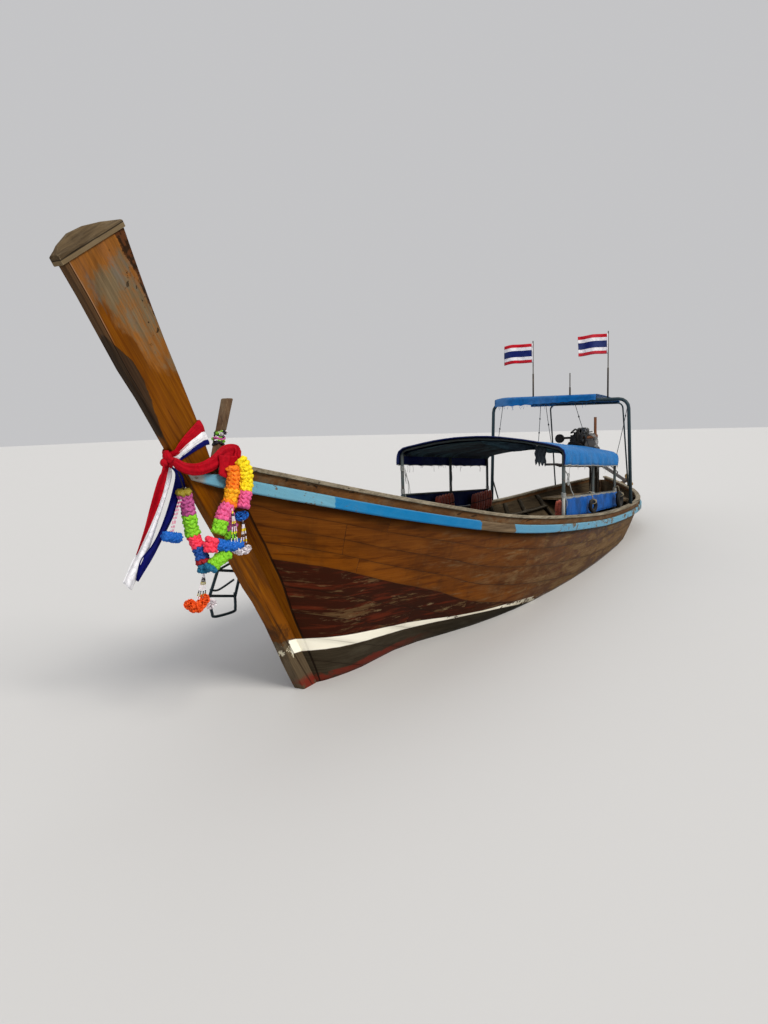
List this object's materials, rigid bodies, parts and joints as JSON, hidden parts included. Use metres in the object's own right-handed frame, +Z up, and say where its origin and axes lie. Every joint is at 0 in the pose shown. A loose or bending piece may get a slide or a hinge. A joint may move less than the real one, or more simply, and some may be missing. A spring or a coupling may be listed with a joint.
{
  "type": "longtail boat",
  "caption": "Wooden longtail boat with a raked prow, low canopy, stern awning, and a swivelling, tilting engine with a long shaft and propeller.",
  "frame": {"origin": "on the waterline and the centreline, amidships", "axes": "+X towards the bow, +Y to port, +Z up; z = 0 is the waterline"},
  "size_m": [14.9291, 2.36, 3.6404],
  "materials": {
    "varnished_planks": "worn varnish, dark and peeling below the knuckle",
    "prow_wood": "varnished, with grey weathered streaks",
    "weathered_wood": "grey and dry",
    "bare_wood": "dull, damp",
    "blue_paint": "worn paint on a wooden rail",
    "blue_tarp": "coated cloth, dull inside",
    "striped_cloth": "red, white and blue stripes",
    "red_cloth": "soft satin",
    "orange_cloth": "nylon",
    "black_cloth": "matt",
    "flowers": "cloth flowers in many colours",
    "grey_tube": "dull galvanised",
    "black_tube": "worn black paint",
    "engine_black": "oily",
    "engine_silver": "dull cast",
    "rusty_steel": "rust over old paint",
    "bronze": "worn",
    "black_rubber": "matt"
  },
  "bodies": {
    "hull": {"hull_planking_port": "varnished_planks", "hull_planking_starboard": "varnished_planks", "keel": "bare_wood", "stem_and_prow": "prow_wood", "prow_cap": "weathered_wood", "inner_stem": "bare_wood", "stern_post": "weathered_wood", "rub_rail_port": "blue_paint", "rub_rail_starboard": "blue_paint", "bulwark_port": "varnished_planks", "bulwark_starboard": "varnished_planks", "cap_rail_port": "weathered_wood", "cap_rail_starboard": "weathered_wood", "frames_and_keelson": "bare_wood", "foredeck": "weathered_wood", "stern_deck": "weathered_wood", "floorboards": "bare_wood", "thwart_1": "bare_wood", "thwart_2": "bare_wood", "thwart_3": "bare_wood", "bow_post": "weathered_wood", "canopy_cover": "blue_tarp", "canopy_frame": "grey_tube", "side_panel_port": "blue_tarp", "side_panel_starboard": "blue_tarp", "stern_hoop": "black_tube", "rear_hoop": "black_tube", "stern_awning": "blue_tarp", "flag_pole_1": "bare_wood", "flag_pole_2": "bare_wood", "flag_pole_3": "bare_wood", "flag_1": "striped_cloth", "flag_2": "striped_cloth", "boarding_ladder": "black_tube", "engine_post": "bare_wood", "tyre_fender_1": "black_rubber", "tyre_fender_2": "black_rubber", "life_vest_1": "orange_cloth", "life_vest_2": "orange_cloth", "life_vest_3": "orange_cloth", "hanging_cloth": "black_cloth", "sash_wrap": "striped_cloth", "sash_tails": "striped_cloth", "scarf": "red_cloth", "garland_fore": "flowers", "garland_middle": "flowers", "garland_aft": "flowers"},
    "swivel": {"swivel_yoke": "rusty_steel"},
    "engine": {"engine_cradle": "rusty_steel", "tiller": "black_tube", "engine_block": "engine_black", "cylinder_head": "engine_silver", "front_pulley": "engine_black", "alternator": "engine_silver", "air_cleaner": "engine_black", "exhaust_pipe": "rusty_steel", "gearbox": "engine_black", "tail_tube_and_skeg": "black_tube"},
    "propeller": {"propeller": "bronze"}
  },
  "joints": [
    {"name": "engine_swivel", "type": "hinge", "parent": "hull", "child": "swivel", "pos_m": [-4.9, 0, 1.05], "axis": [0, 0, 1], "range_deg": [-28, 32]},
    {"name": "engine_tilt", "type": "hinge", "parent": "swivel", "child": "engine", "pos_m": [-4.9, 0, 1.05], "axis": [0.0628, 0.998, 0], "range_deg": [-12, 8]},
    {"name": "propeller_spin", "type": "hinge", "parent": "engine", "child": "propeller", "pos_m": [-4.9, 0, 1.05], "axis": [0.9717, -0.0611, 0.2283], "continuous": true}
  ]
}
